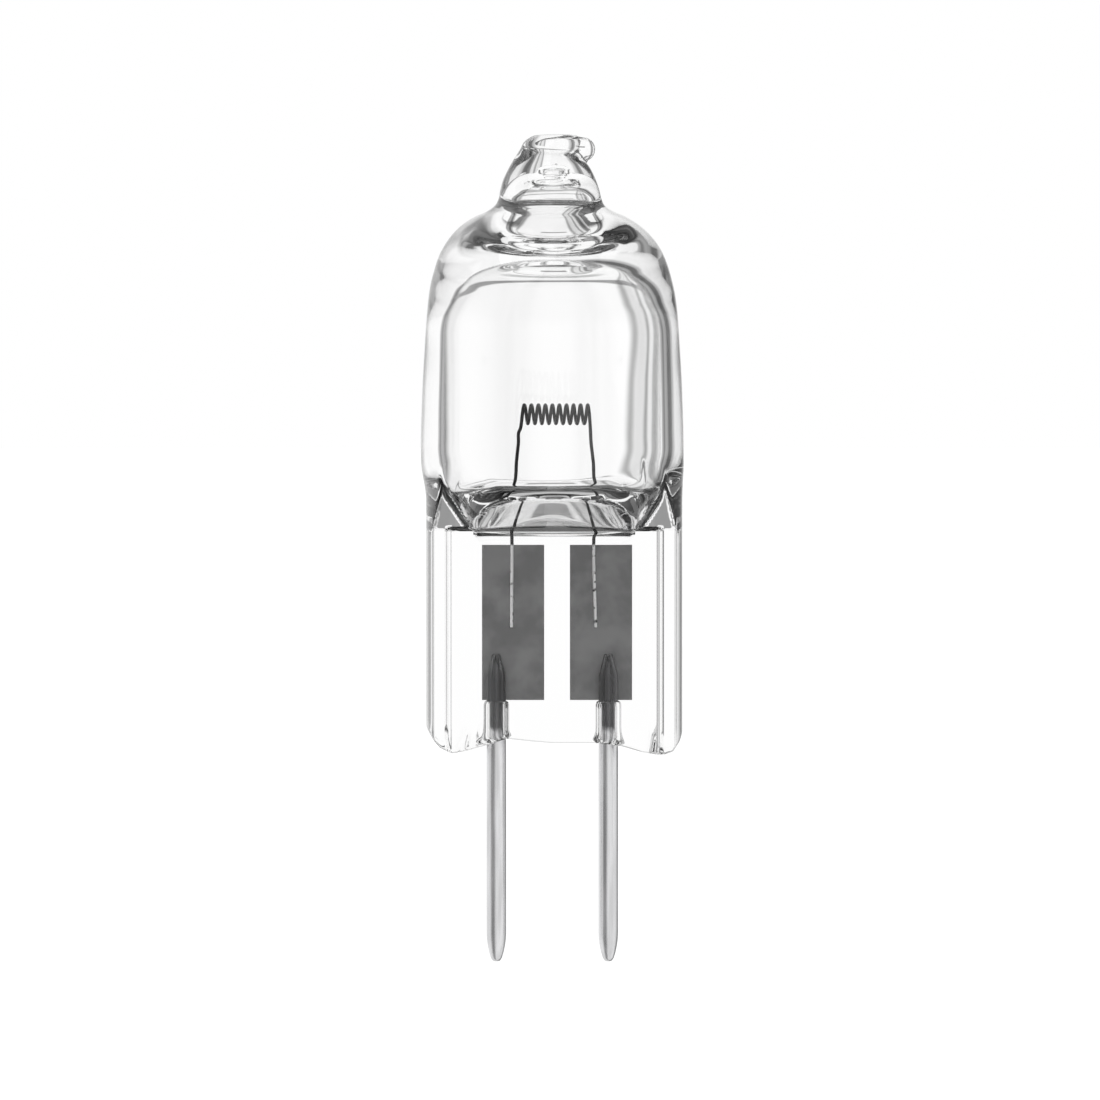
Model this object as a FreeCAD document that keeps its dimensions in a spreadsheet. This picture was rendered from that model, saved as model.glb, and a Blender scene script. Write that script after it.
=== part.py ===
import FreeCAD, Part

import math
import os
import re

import Sketcher

# A clear two-pin halogen capsule bulb, in millimetres. +Z runs up along the tube, and the two
# pins point down, side by side along X. The origin is halfway between the pins, on the seating
# plane that touches the quartz's two feet.

# Driving dimensions: name, value and what it sets. Heights are stacked up from the seating plane.
SIZES = [
    ("seal_height", 8.04, "pressed seal, from its feet to the top of its web"),
    ("seal_draw", 0.12, "how far each side of the seal lies inside the tube's side"),
    ("seal_shift", 0.07, "how far the seal lies to the right of the tube's axis"),
    ("rib_thickness", 3.00, "seal across its two side ribs"),
    ("web_thickness", 2.40, "seal across its flat web"),
    ("rib_width", 0.62, "flat of each side rib"),
    ("rib_slope", 0.18, "width of the slope between rib and web"),
    ("side_crown", 0.25, "how far the seal's rounded sides bulge"),
    ("foot_drop", 0.40, "how far the seal's two feet reach below its middle"),
    ("foot_inset", 0.98, "lowest point of a foot, inward of the seal's side"),
    ("foot_width", 1.10, "from that point in to where the foot ends"),
    ("corner_rise", 0.72, "height of the cut corners, from the feet"),
    ("shoulder_height", 2.71, "from the top of the web to the round tube"),
    ("shoulder_arc_radius", 4.50, "outward curve of the shoulder's side"),
    ("shoulder_press_height", 1.93, "flat slopes pressed into its front and back, above the web"),
    ("throat_radius", 2.77, "shoulder where it runs into the seal"),
    ("wing_draw", 2.00, "faces of the wings, in from the tube's front and back where they meet it"),
    ("tube_radius", 4.70, "outside of the round tube, at the top of the shoulder"),
    ("tube_draw", 0.28, "how much slimmer the tube is where the dome starts"),
    ("tube_height", 5.40, "round tube, from the shoulder to the dome"),
    ("dome_radius", 3.42, "arc of the dome"),
    ("dome_height", 3.13, "from the end of the tube to the foot of the tip"),
    ("tip_foot_radius", 2.45, "outer end of the fillet under the tip"),
    ("tip_root_radius", 1.88, "inner end of that fillet"),
    ("tip_fillet", 0.40, "height of that fillet"),
    ("tip_height", 2.83, "closed exhaust tip, above the dome"),
    ("tip_side_radius", 4.20, "outward curve of the tip's side"),
    ("tip_end_radius", 1.02, "tip where its blunt end starts"),
    ("tip_end_height", 0.40, "height of the blunt end"),
    ("tip_end_round", 0.42, "rounded corner of the blunt end"),
    ("tip_flat_radius", 0.60, "nearly flat middle of the blunt end"),
    ("tip_crown", 0.04, "how far that middle bulges"),
    ("nib_radius", 0.43, "bead of quartz left at the side of the tip"),
    ("nib_reach", 1.09, "middle of the bead, from the axis"),
    ("nib_drop", 0.53, "middle of the bead, below the top"),
    ("tube_wall", 0.82, "quartz beside the cavity"),
    ("crown_wall", 1.45, "quartz between the cavity's ceiling and the foot of the tip"),
    ("inner_dome_radius", 3.45, "arc of the cavity under the dome"),
    ("inner_dome_height", 2.87, "height of that arc"),
    ("ceiling_radius", 2.20, "flat part of the ceiling"),
    ("bore_radius", 1.32, "hole that the exhaust tube left"),
    ("bore_height", 1.95, "straight part of that hole"),
    ("bore_end_height", 1.10, "melted, closed end of that hole"),
    ("waist_rise", 1.05, "cavity's drawn-in section, above its lowest point"),
    ("waist_side_draw", 0.48, "that section's sides, in from the round cavity's"),
    ("waist_face_draw", 1.18, "its front and back, in from the round cavity's"),
    ("trough_rise", 0.28, "rounded bottom of the cavity, above its lowest point"),
    ("trough_side_draw", 1.03, "sides of its top, in from the round cavity's"),
    ("trough_half_depth", 1.50, "top of that bottom along Y"),
    ("floor_rise", 0.51, "lowest point of the cavity, above the seal's web"),
    ("floor_side_draw", 1.48, "sides of the bottom's flat, in from the round cavity's"),
    ("floor_half_depth", 0.45, "flat of the cavity's bottom along Y"),
    ("pin_spacing", 4.00, "between the pins' axes"),
    ("pin_radius", 0.35, "pin below the seating plane"),
    ("pin_draw", 0.01, "how much slimmer the pin is at its taper, inside the seal"),
    ("pin_exposed", 7.46, "pin below the feet"),
    ("pin_point_height", 0.96, "rounded point at the lower end"),
    ("pin_point_radius", 0.14, "flat end of that point"),
    ("pin_overlap", 1.66, "pin above its foil's lower end"),
    ("pin_taper_height", 0.75, "taper at the upper end"),
    ("pin_taper_radius", 0.15, "end of that taper"),
    ("pin_seat_gap", 0.01, "gap round a pin's full thickness where it lies on its foil"),
    ("channel_gap", 0.11, "clear gap round a pin below its foil"),
    ("mouth_flare", 0.34, "how much wider that channel opens at its mouth"),
    ("mouth_height", 0.50, "height of the widening"),
    ("foil_width", 2.22, "foil"),
    ("foil_length", 5.55, "foil"),
    ("foil_thickness", 0.03, "foil at its middle"),
    ("foil_edge", 0.01, "foil at its feathered long edges"),
    ("foil_feather", 0.35, "width of a feathered edge"),
    ("foil_cover", 0.59, "quartz over the foils, up to the top of the web"),
    ("left_foil_inset", 0.60, "left foil's middle, inward of its pin"),
    ("right_foil_inset", 0.26, "right foil's middle, inward of its pin"),
    ("weld_gap", 0.004, "joint between a foil and what is welded to it"),
    ("wire_radius", 0.066, "filament wire, from its middle to the six corners of its section"),
    ("coil_radius", 0.325, "wire's middle, round the coil's axis"),
    ("coil_pitch", 0.252, "one turn of the coil"),
    ("coil_turns", 9.5, "from the left leg at the front to the right leg at the back"),
    ("coil_shift", 0.13, "coil's middle, to the right of the tube's axis"),
    ("coil_rise", 3.55, "coil's axis, above the lowest point of the cavity"),
    ("leg_lead", 0.50, "first run of a leg, in line with the coil's last turn"),
    ("leg_knee_rise", 0.40, "lower bend of a leg, above the lowest point of the cavity"),
    ("left_leg_inset", 0.55, "left leg on its foil, inward of its pin"),
    ("right_leg_inset", 0.48, "right leg on its foil, inward of its pin"),
    ("leg_overlap", 2.95, "leg below its foil's upper end"),
    ("leg_bend", 0.30, "radius of a leg's bends"),
    ("leg_gap", 0.03, "gap round a leg inside the seal"),
]

# Levels and places that several pieces share, as expressions of the sizes
TUBE_BASE = "(seal_height + shoulder_height)"
TUBE_TOP = f"({TUBE_BASE} + tube_height)"
TIP_FOOT = f"({TUBE_TOP} + dome_height)"
TOP = f"({TIP_FOOT} + tip_height)"
CEILING = f"({TIP_FOOT} - crown_wall)"
CAVITY_RADIUS = "(tube_radius - tube_wall)"
FLOOR = "(seal_height + floor_rise)"
SEAL_LEFT = "(seal_shift - tube_radius + seal_draw)"
SEAL_RIGHT = "(seal_shift + tube_radius - seal_draw)"
FOIL_TOP = "(seal_height - foil_cover)"
FOIL_FOOT = f"({FOIL_TOP} - foil_length)"
PIN_TOP = f"({FOIL_FOOT} + pin_overlap)"
COIL_LEVEL = f"({FLOOR} + coil_rise)"
LEG_END = f"({FOIL_TOP} - leg_overlap)"
FOIL_DEPTH = "(pin_radius + weld_gap + foil_thickness / 2)"
LEG_DEPTH = "(pin_radius - wire_radius)"
CHANNEL_RADIUS = "(pin_radius + channel_gap)"

V = FreeCAD.Vector
UPRIGHT = FreeCAD.Rotation(V(1, 0, 0), 90)
SIDEWAYS = FreeCAD.Rotation(V(1, 1, 1), 120)
CUT_MARGIN = 1.0

doc = FreeCAD.newDocument("halogen_capsule")
sheet = doc.addObject("Spreadsheet::Sheet", "Sizes")
for row, (alias, value, note) in enumerate(SIZES, start=1):
    sheet.set(f"A{row}", alias)
    sheet.set(f"B{row}", str(value))
    sheet.set(f"C{row}", note)
    sheet.setAlias(f"B{row}", alias)
doc.recompute()
ALIASES = re.compile(r"\b(" + "|".join(row[0] for row in SIZES) + r")\b")


def bound(words):
    """An expression of the sizes, as an object outside the sheet writes it."""
    return ALIASES.sub(r"Sizes.\1", words)


def size(words):
    """The value of an expression of the sizes."""
    return float(sheet.evalExpression(bound(words)))


def bind(thing, **expressions):
    """Bind properties of an object to expressions of the sizes."""
    for name, words in expressions.items():
        thing.setExpression(name.replace("__", "."), bound(words))
    return thing


def arc_between(start, end, radius):
    """The short arc between two corners. It bulges to the right of the way, or left if negative."""
    half = start.distanceToPoint(end) / 2
    sagitta = abs(radius) - math.sqrt(radius ** 2 - half ** 2)
    right = V(end.y - start.y, start.x - end.x, 0).normalize()
    middle = (start + end) * 0.5 + right * math.copysign(sagitta, radius)
    return Part.Arc(start, middle, end) if radius > 0 else Part.Arc(end, middle, start)


def hold_corner(sketch, point, index, across, up):
    """Fix one corner of an outline by two expressions."""
    for kind, words, axis in (("DistanceX", across, -2), ("DistanceY", up, -1)):
        if words == "0":
            sketch.addConstraint(Sketcher.Constraint("PointOnObject", index, point, axis))
            continue
        added = sketch.addConstraint(Sketcher.Constraint(kind, -1, 1, index, point, size(words)))
        sketch.renameConstraint(added, f"{kind}_{index}")
        sketch.setExpression(f"Constraints.{kind}_{index}", bound(words))


def draw(sketch, corners):
    """Draw a closed outline, anticlockwise. A corner is (across, up), with the radius of the arc
    to the next corner as a third expression where that edge isn't straight."""
    places = [V(size(corner[0]), size(corner[1]), 0) for corner in corners]
    first_points = []
    for index, corner in enumerate(corners):
        start, end = places[index], places[(index + 1) % len(corners)]
        if len(corner) == 2:
            edge = Part.LineSegment(start, end)
        else:
            edge = arc_between(start, end, size(corner[2]))
        sketch.addGeometry(edge, False)
        runs_on = sketch.Geometry[index].StartPoint.distanceToPoint(start) < 1e-6
        first_points.append(1 if runs_on else 2)
    for index, corner in enumerate(corners):
        after = (index + 1) % len(corners)
        sketch.addConstraint(Sketcher.Constraint("Coincident", index, 3 - first_points[index],
                                                 after, first_points[after]))
        hold_corner(sketch, first_points[index], index, corner[0], corner[1])
        if len(corner) == 3:
            radius = abs(size(corner[2]))
            added = sketch.addConstraint(Sketcher.Constraint("Radius", index, radius))
            sketch.renameConstraint(added, f"Radius_{index}")
            sketch.setExpression(f"Constraints.Radius_{index}", f"abs({bound(corner[2])})")
    return sketch


def outline(name, corners, turn=FreeCAD.Rotation()):
    """An outline as a sketch of its own, flat on XY or turned upright on XZ or YZ."""
    sketch = draw(doc.addObject("Sketcher::SketchObject", name), corners)
    sketch.Placement = FreeCAD.Placement(V(0, 0, 0), turn)
    return sketch


def body_outline(body, role, corners):
    """An outline as a sketch on one of a body's own origin planes."""
    sketch = body.newObject("Sketcher::SketchObject", f"{body.Name}_outline")
    plane = next(item for item in body.Origin.OriginFeatures if item.Role == role)
    sketch.AttachmentSupport = [(plane, "")]
    sketch.MapMode = "FlatFace"
    return draw(sketch, corners)


def turned(name, corners):
    """A solid turned about Z from an upright outline."""
    solid = doc.addObject("Part::Revolution", name)
    solid.Source = outline(f"{name}_outline", corners, UPRIGHT)
    solid.Axis = V(0, 0, 1)
    solid.Base = V(0, 0, 0)
    solid.Angle = 360
    solid.Solid = True
    return solid


def extruded(name, sketch, length, both_ways=False):
    """A prism from a sketch, along the sketch's normal."""
    solid = doc.addObject("Part::Extrusion", name)
    solid.Base = sketch
    solid.DirMode = "Normal"
    solid.Symmetric = both_ways
    solid.Solid = True
    return bind(solid, LengthFwd=length)


def lofted(name, sections, ruled=False):
    """A solid through flat sections, from the lowest up."""
    solid = doc.addObject("Part::Loft", name)
    solid.Sections = sections
    solid.Solid = True
    solid.Ruled = ruled
    return solid


def oval(name, half_width, half_depth, level):
    """A level oval about the tube's axis."""
    ring = doc.addObject("Part::Ellipse", name)
    return bind(ring, MajorRadius=half_width, MinorRadius=half_depth, Placement__Base__z=level)


def joined(name, solids):
    """One solid from several that meet."""
    union = doc.addObject("Part::MultiFuse", name)
    union.Shapes = solids
    return union


def cut_away(name, base, tool):
    """The base without the tool."""
    rest = doc.addObject("Part::Cut", name)
    rest.Base = base
    rest.Tool = tool
    return rest


def end_arc(reach, rise):
    """Radius of an arc that reaches a point at this distance and leaves its start square on."""
    return f"(({reach}) ^ 2 + ({rise}) ^ 2) / (2 * ({rise}))"


def make_bulb():
    """Round tube, dome and closed exhaust tip, with the bead beside the tip."""
    bulb = turned("bulb_outside", [
        ("0", TUBE_BASE),
        ("tube_radius", TUBE_BASE),
        ("tube_radius - tube_draw", TUBE_TOP, "dome_radius"),
        ("tip_foot_radius", TIP_FOOT, "-1.6 * tip_fillet"),
        ("tip_root_radius", f"{TIP_FOOT} + tip_fillet", "tip_side_radius"),
        ("tip_end_radius", f"{TOP} - tip_end_height", "tip_end_round"),
        ("tip_flat_radius", f"{TOP} - tip_crown", end_arc("tip_flat_radius", "tip_crown")),
        ("0", TOP),
    ])
    nib = bind(doc.addObject("Part::Sphere", "nib"), Radius="nib_radius",
               Placement__Base__x="nib_reach", Placement__Base__z=f"{TOP} - nib_drop")
    return [bulb, nib]


def make_shoulder():
    """Where the round tube is drawn in to the seal: it narrows from the sides, the jaws pressed its
    front and back into flat slopes, and a wing stands at each side."""
    foot, half_web = "(seal_height - rib_slope)", "(web_thickness * 0.49)"
    drawn_in = turned("drawn_in_tube", [
        ("0", foot),
        ("throat_radius", foot, "shoulder_arc_radius"),
        ("tube_radius", TUBE_BASE),
        ("0", TUBE_BASE),
    ])
    far = f"({half_web} + (tube_radius - {half_web}) * {CUT_MARGIN + 1})"
    far_level = f"{foot} + shoulder_press_height * {CUT_MARGIN + 1}"
    slopes = extruded("between_jaws", outline("between_jaws_outline", [
        (f"-{half_web}", f"{foot} - {CUT_MARGIN}"),
        (half_web, f"{foot} - {CUT_MARGIN}"),
        (half_web, foot),
        (far, far_level),
        (f"-{far}", far_level),
        (f"-{half_web}", foot),
    ], SIDEWAYS), "4 * tube_radius", both_ways=True)
    shoulder = doc.addObject("Part::MultiCommon", "shoulder")
    shoulder.Shapes = [drawn_in, slopes]
    half_wing = "(tube_radius - wing_draw)"
    chord = f"sqrt(tube_radius ^ 2 - {half_wing} ^ 2)"
    wing_top = outline("wing_top", [
        (f"-{chord}", f"-{half_wing}"),
        (chord, f"-{half_wing}", "tube_radius"),
        (chord, half_wing),
        (f"-{chord}", half_wing, "tube_radius"),
    ])
    wing_foot = outline("wing_foot", seal_section())
    bind(wing_foot, Placement__Base__z="seal_height")
    bind(wing_top, Placement__Base__z=TUBE_BASE)
    return [shoulder, lofted("wings", [wing_foot, wing_top], ruled=True)]


def seal_section():
    """Section of the seal across its ribs: flat front and back, and gently rounded sides."""
    side_arc = end_arc("rib_thickness / 2", "side_crown")
    return [
        (f"{SEAL_LEFT} + side_crown", "-rib_thickness / 2"),
        (f"{SEAL_RIGHT} - side_crown", "-rib_thickness / 2", side_arc),
        (f"{SEAL_RIGHT} - side_crown", "rib_thickness / 2"),
        (f"{SEAL_LEFT} + side_crown", "rib_thickness / 2", side_arc),
    ]


def make_seal():
    """Pressed seal: side ribs, a thinner web between them, and two feet below."""
    section = outline("seal_section", seal_section())
    bind(section, Placement__Base__z="-foot_drop")
    blank = extruded("seal_blank", section, "seal_height + foot_drop")
    feet = extruded("seal_feet", outline("seal_feet_outline", [
        (f"{SEAL_LEFT} - {CUT_MARGIN}", "-2 * foot_drop"),
        (f"{SEAL_RIGHT} + {CUT_MARGIN}", "-2 * foot_drop"),
        (f"{SEAL_RIGHT} + {CUT_MARGIN}", "corner_rise"),
        (SEAL_RIGHT, "corner_rise"),
        (f"{SEAL_RIGHT} - foot_inset", "0"),
        (f"{SEAL_RIGHT} - foot_inset - foot_width", "foot_drop"),
        (f"{SEAL_LEFT} + foot_inset + foot_width", "foot_drop"),
        (f"{SEAL_LEFT} + foot_inset", "0"),
        (SEAL_LEFT, "corner_rise"),
        (f"{SEAL_LEFT} - {CUT_MARGIN}", "corner_rise"),
    ], UPRIGHT), "2 * rib_thickness", both_ways=True)
    presses = [make_press("front_press", "-"), make_press("back_press", "")]
    return cut_away("seal", blank, joined("seal_cuts", [feet] + presses))


def make_press(name, side):
    """What the jaw pressed out of one face between the ribs, with sloped walls."""
    depth = "(rib_thickness - web_thickness)"
    deep, proud = f"{side}(web_thickness / 2)", f"{side}(web_thickness / 2 + {depth})"
    faces = {
        deep: ("rib_width + rib_slope", "rib_slope"),
        proud: ("rib_width - rib_slope", "-rib_slope"),
    }
    low, high = (proud, deep) if side else (deep, proud)
    press = doc.addObject("Part::Wedge", name)
    foot = "-2 * foot_drop"
    return bind(
        press,
        Ymin=low, Ymax=high,
        Xmin=f"{SEAL_LEFT} + {faces[low][0]}", Xmax=f"{SEAL_RIGHT} - ({faces[low][0]})",
        Zmin=foot, Zmax=f"seal_height - ({faces[low][1]})",
        X2min=f"{SEAL_LEFT} + {faces[high][0]}", X2max=f"{SEAL_RIGHT} - ({faces[high][0]})",
        Z2min=foot, Z2max=f"seal_height - ({faces[high][1]})",
    )


def make_cavity():
    """The gas-filled space: round chamber, hole left by the exhaust tube, and drawn-in bottom."""
    chamber = turned("chamber", [
        ("0", TUBE_BASE),
        (CAVITY_RADIUS, TUBE_BASE),
        (CAVITY_RADIUS, f"{CEILING} - inner_dome_height", "inner_dome_radius"),
        ("ceiling_radius", CEILING),
        ("bore_radius", CEILING),
        ("bore_radius", f"{CEILING} + bore_height", end_arc("bore_radius", "bore_end_height")),
        ("0", f"{CEILING} + bore_height + bore_end_height"),
    ])
    bottom = lofted("cavity_bottom", [
        oval("floor_section", f"{CAVITY_RADIUS} - floor_side_draw", "floor_half_depth", FLOOR),
        oval("trough_section", f"{CAVITY_RADIUS} - trough_side_draw", "trough_half_depth",
             f"{FLOOR} + trough_rise"),
        oval("waist_section", f"{CAVITY_RADIUS} - waist_side_draw",
             f"{CAVITY_RADIUS} - waist_face_draw", f"{FLOOR} + waist_rise"),
        oval("chamber_section", CAVITY_RADIUS, CAVITY_RADIUS, TUBE_BASE),
    ])
    return [chamber, bottom]


def across_pin(side):
    """Place of a pin along X: side is - for the left one and nothing for the right one."""
    return f"({side}pin_spacing / 2)"


def foil_outline(side, name):
    """Section of a foil with feathered long edges, at the level of its lower end."""
    inset = f"{name}_foil_inset"
    middle = f"({across_pin(side)} - {side}{inset})"
    flat = "(foil_width / 2 - foil_feather)"
    return [
        (f"{middle} - foil_width / 2", f"{FOIL_DEPTH} - foil_edge / 2"),
        (f"{middle} - {flat}", f"{FOIL_DEPTH} - foil_thickness / 2"),
        (f"{middle} + {flat}", f"{FOIL_DEPTH} - foil_thickness / 2"),
        (f"{middle} + foil_width / 2", f"{FOIL_DEPTH} - foil_edge / 2"),
        (f"{middle} + foil_width / 2", f"{FOIL_DEPTH} + foil_edge / 2"),
        (f"{middle} + {flat}", f"{FOIL_DEPTH} + foil_thickness / 2"),
        (f"{middle} - {flat}", f"{FOIL_DEPTH} + foil_thickness / 2"),
        (f"{middle} - foil_width / 2", f"{FOIL_DEPTH} + foil_edge / 2"),
    ]


def make_foil(side, name):
    """Thin foil that carries the current through the seal."""
    body = doc.addObject("PartDesign::Body", f"{name}_foil")
    pad = body.newObject("PartDesign::Pad", f"{name}_foil_strip")
    pad.Profile = body_outline(body, "XY_Plane", foil_outline(side, name))
    bind(pad, Length="foil_length")
    return bind(body, Placement__Base__z=FOIL_FOOT)


def make_pin(side, name):
    """Round pin with a rounded point below. Inside the seal it is a little slimmer, where it was
    etched for the quartz to hold it, and it ends in a short taper."""
    body = doc.addObject("PartDesign::Body", f"{name}_pin")
    shaft = body.newObject("PartDesign::Revolution", f"{name}_pin_shaft")
    profile = body_outline(body, "XZ_Plane", [
        ("0", "-pin_exposed"),
        ("pin_point_radius", "-pin_exposed",
         end_arc("pin_point_height", "pin_radius - pin_point_radius")),
        ("pin_radius", "-pin_exposed + pin_point_height"),
        ("pin_radius", "0"),
        ("pin_radius - pin_draw", f"{PIN_TOP} - pin_taper_height"),
        ("pin_taper_radius", PIN_TOP),
        ("0", PIN_TOP),
    ])
    shaft.Profile = profile
    shaft.ReferenceAxis = (profile, ["V_Axis"])
    shaft.Angle = 360
    return bind(body, Placement__Base__x=across_pin(side))


def make_seats(side, name):
    """Room for one pin, its foil and its filament leg inside the seal."""
    seat = bind(doc.addObject("Part::Cylinder", f"{name}_pin_seat"),
                Radius="pin_radius + pin_seat_gap", Height="pin_overlap + pin_seat_gap",
                Placement__Base__x=across_pin(side), Placement__Base__z=FOIL_FOOT)
    channel = bind(doc.addObject("Part::Cylinder", f"{name}_channel"),
                   Radius=CHANNEL_RADIUS, Height=FOIL_FOOT,
                   Placement__Base__x=across_pin(side))
    mouth = bind(doc.addObject("Part::Cone", f"{name}_mouth"),
                 Radius1=f"{CHANNEL_RADIUS} + mouth_flare * (1 + foot_drop / mouth_height)",
                 Radius2=CHANNEL_RADIUS, Height="mouth_height + foot_drop",
                 Placement__Base__x=across_pin(side))
    foil_section = outline(f"{name}_foil_seat_outline", foil_outline(side, name))
    bind(foil_section, Placement__Base__z=FOIL_FOOT)
    foil_seat = extruded(f"{name}_foil_seat", foil_section, "foil_length")
    leg_seat = bind(doc.addObject("Part::Cylinder", f"{name}_leg_seat"),
                    Radius="wire_radius + leg_gap",
                    Height=f"{FLOOR} + trough_rise - {LEG_END} + leg_gap",
                    Placement__Base__x=across_leg(side, name), Placement__Base__y=LEG_DEPTH,
                    Placement__Base__z=f"{LEG_END} - leg_gap")
    return [seat, channel, mouth, foil_seat, leg_seat]


def across_leg(side, name):
    """Place along X of a filament leg on its foil."""
    return f"({across_pin(side)} - {side}{name}_leg_inset)"


def leg_route(side, name):
    """A leg's points from the coil down to its end on the foil. The first run keeps the coil's
    slope, and the leg is straight and upright from its lower bend down."""
    sign = -1 if side else 1
    coil_end = V(size("coil_shift") + sign * size("coil_pitch * coil_turns / 2"),
                 sign * size("coil_radius"), size(COIL_LEVEL))
    slope = math.atan2(size("coil_pitch"), 2 * math.pi * size("coil_radius"))
    lead = V(sign * math.sin(slope), 0, -math.cos(slope)) * size("leg_lead")
    foot = V(size(across_leg(side, name)), size(LEG_DEPTH), size(LEG_END))
    knee = V(foot.x, foot.y, size(f"{FLOOR} + leg_knee_rise"))
    return [coil_end, coil_end + lead, knee, foot]


def bent_edges(points, radius):
    """Straight runs through points, with a tangent arc at each point between two runs."""
    edges = []
    start = points[0]
    for before, corner, after in zip(points, points[1:], points[2:]):
        back = (before - corner).normalize()
        onward = (after - corner).normalize()
        half_angle = back.getAngle(onward) / 2
        reach = radius / math.tan(half_angle)
        inward = (back + onward).normalize()
        arc_start, arc_end = corner + back * reach, corner + onward * reach
        middle = corner + inward * (radius / math.sin(half_angle) - radius)
        edges.append(Part.LineSegment(start, arc_start).toShape())
        edges.append(Part.Arc(arc_start, middle, arc_end).toShape())
        start = arc_end
    edges.append(Part.LineSegment(start, points[-1]).toShape())
    return edges


def make_filament():
    """One wire: up from the left foil, round the coil, and down to the right foil. Its section has
    six sides, so that so many turns keep few faces."""
    left, right = leg_route("-", "left"), leg_route("", "right")
    coil = Part.makeHelix(size("coil_pitch"), size("coil_pitch * coil_turns"),
                          size("coil_radius"), 0, True)
    along_x = FreeCAD.Rotation(V(0, -1, 0), V(0, 0, -1), V(1, 0, 0), "ZXY")
    coil.Placement = FreeCAD.Placement(V(left[0].x, 0, left[0].z), along_x)
    bend = size("leg_bend")
    route = doc.addObject("Part::Feature", "filament_route")
    route.Shape = Part.Wire(Part.__sortEdges__(
        bent_edges(left[::-1], bend) + coil.Edges + bent_edges(right, bend)))
    section = bind(doc.addObject("Part::RegularPolygon", "filament_section"),
                   Circumradius="wire_radius",
                   Placement__Base__x=across_leg("-", "left"), Placement__Base__y=LEG_DEPTH,
                   Placement__Base__z=LEG_END)
    section.Polygon = 6
    wire = doc.addObject("Part::Sweep", "filament")
    wire.Sections = [section]
    wire.Spine = (route, [f"Edge{index + 1}" for index in range(len(route.Shape.Edges))])
    wire.Solid = True
    wire.Frenet = False
    return wire


def make_capsule():
    """The quartz envelope, one piece from tip to seal, around all that it encloses."""
    outside = joined("capsule_outside", make_bulb() + make_shoulder() + [make_seal()])
    inside = joined("capsule_inside",
                    make_cavity() + make_seats("-", "left") + make_seats("", "right"))
    return cut_away("quartz_capsule", outside, inside)


pieces = [
    make_capsule(),
    make_filament(),
    make_foil("-", "left"),
    make_foil("", "right"),
    make_pin("-", "left"),
    make_pin("", "right"),
]
doc.recompute()

for thing in doc.Objects:
    if "Invalid" in thing.State or "Error" in thing.State:
        raise RuntimeError(f"{thing.Name} failed: {thing.State}")
for piece in pieces:
    piece.Label = piece.Name
    shape = piece.Shape
    if shape.isNull() or not shape.isValid() or len(shape.Solids) != 1:
        raise RuntimeError(f"{piece.Label} is not one valid solid")

os.makedirs("parts", exist_ok=True)
for piece in pieces:
    piece.Shape.exportStep(f"parts/{piece.Label}.step")
    print(f"{piece.Label}: {piece.Shape.Volume:.4f} mm3, {piece.Shape.BoundBox}")
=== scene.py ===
import math
from functools import partial

import bmesh
import bpy
from bpy.props import FloatProperty, FloatVectorProperty, IntProperty, PointerProperty
from mathutils import Matrix, Vector
from mathutils.geometry import interpolate_bezier


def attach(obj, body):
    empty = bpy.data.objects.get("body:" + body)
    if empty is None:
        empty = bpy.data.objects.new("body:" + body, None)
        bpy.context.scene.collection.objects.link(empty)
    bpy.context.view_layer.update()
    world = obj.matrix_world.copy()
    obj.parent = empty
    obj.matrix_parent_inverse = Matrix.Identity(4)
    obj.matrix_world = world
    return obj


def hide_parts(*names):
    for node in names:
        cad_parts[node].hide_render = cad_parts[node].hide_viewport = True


bl_info = {
    "name": "Halogen Capsule Bulb",
    "version": (1, 0, 0),
    "blender": (4, 5, 0),
    "location": "3D View > Sidebar > Capsule",
    "description": "Dresses the capsule bulb: clear quartz, tungsten wire, molybdenum foils and pins",
    "category": "Object",
}

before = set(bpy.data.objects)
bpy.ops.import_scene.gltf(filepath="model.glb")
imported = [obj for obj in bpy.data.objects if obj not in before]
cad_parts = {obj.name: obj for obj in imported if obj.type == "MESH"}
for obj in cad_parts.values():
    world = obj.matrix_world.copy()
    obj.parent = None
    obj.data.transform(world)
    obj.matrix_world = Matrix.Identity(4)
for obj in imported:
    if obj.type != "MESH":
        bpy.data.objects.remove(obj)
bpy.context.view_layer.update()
MM = 0.001
# Distance between the rings of the round quartz and of the cavity, and along the filament's legs
RING_STEP = 0.13
LEG_STEP = 0.10
# Edges that bend more than this stay sharp
SHARP_ANGLE = math.radians(35)

# Outside of the round quartz, from the shoulder up: level, radius, and how far its middle lies to
# the right. All shapes are worked out in millimetres and brought to metres at the end.
ROUND_OUTSIDE = [
    (10.75, 4.70, 0.00), (11.40, 4.69, 0.00), (12.40, 4.66, 0.00), (13.50, 4.615, 0.00),
    (14.60, 4.55, 0.00), (15.65, 4.48, 0.00), (16.40, 4.395, -0.01), (16.83, 4.31, -0.02),
    (17.26, 4.195, -0.02), (17.69, 4.05, -0.03), (18.11, 3.84, -0.03), (18.54, 3.515, -0.05),
    (18.90, 3.12, -0.07), (19.17, 2.68, -0.08), (19.36, 2.24, -0.08), (19.56, 1.96, -0.09),
    (19.83, 1.83, -0.08), (20.10, 1.775, -0.09), (20.47, 1.66, -0.10), (20.90, 1.45, -0.10),
    (21.25, 1.235, -0.12), (21.54, 1.10, -0.06), (21.80, 1.03, 0.00), (21.96, 0.93, 0.08),
    (22.055, 0.76, 0.10), (22.092, 0.50, 0.10), (22.105, 0.22, 0.10),
]
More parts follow.
